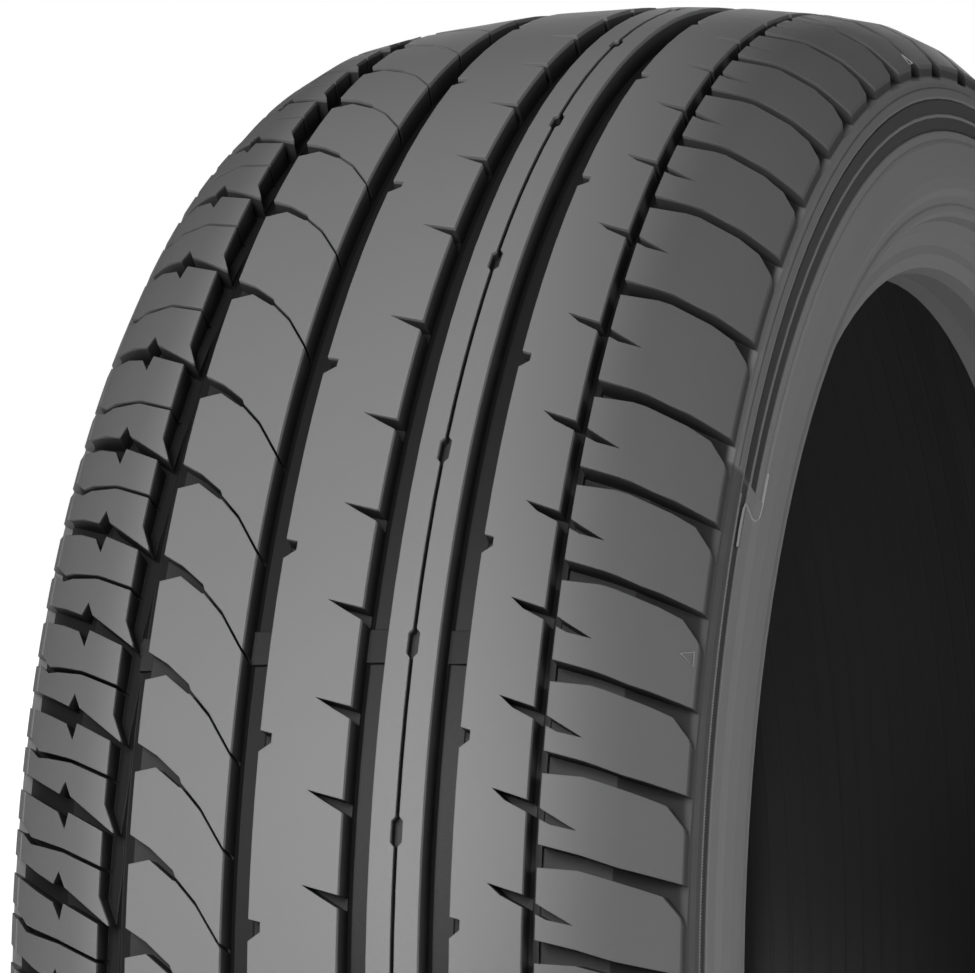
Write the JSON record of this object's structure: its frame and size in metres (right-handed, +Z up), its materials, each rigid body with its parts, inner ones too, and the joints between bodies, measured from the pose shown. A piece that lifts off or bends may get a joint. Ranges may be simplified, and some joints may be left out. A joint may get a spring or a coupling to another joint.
{
  "type": "car tyre",
  "caption": "Low-profile road tyre: one moulded ring with an asymmetric block tread, bare sidewalls and two bead seats that press onto a wheel rim.",
  "frame": {"origin": "centre of the tyre: on the spin axis, midway between the two sidewalls", "axes": "+Y along the spin axis towards the inboard sidewall, -Y out of the outboard sidewall, +Z up with the tyre standing on its tread, X along the way it rolls"},
  "size_m": [0.6416, 0.211, 0.6415],
  "materials": {
    "tyre": "matte"
  },
  "bodies": {
    "root": {"tyre": "tyre"}
  },
  "joints": []
}
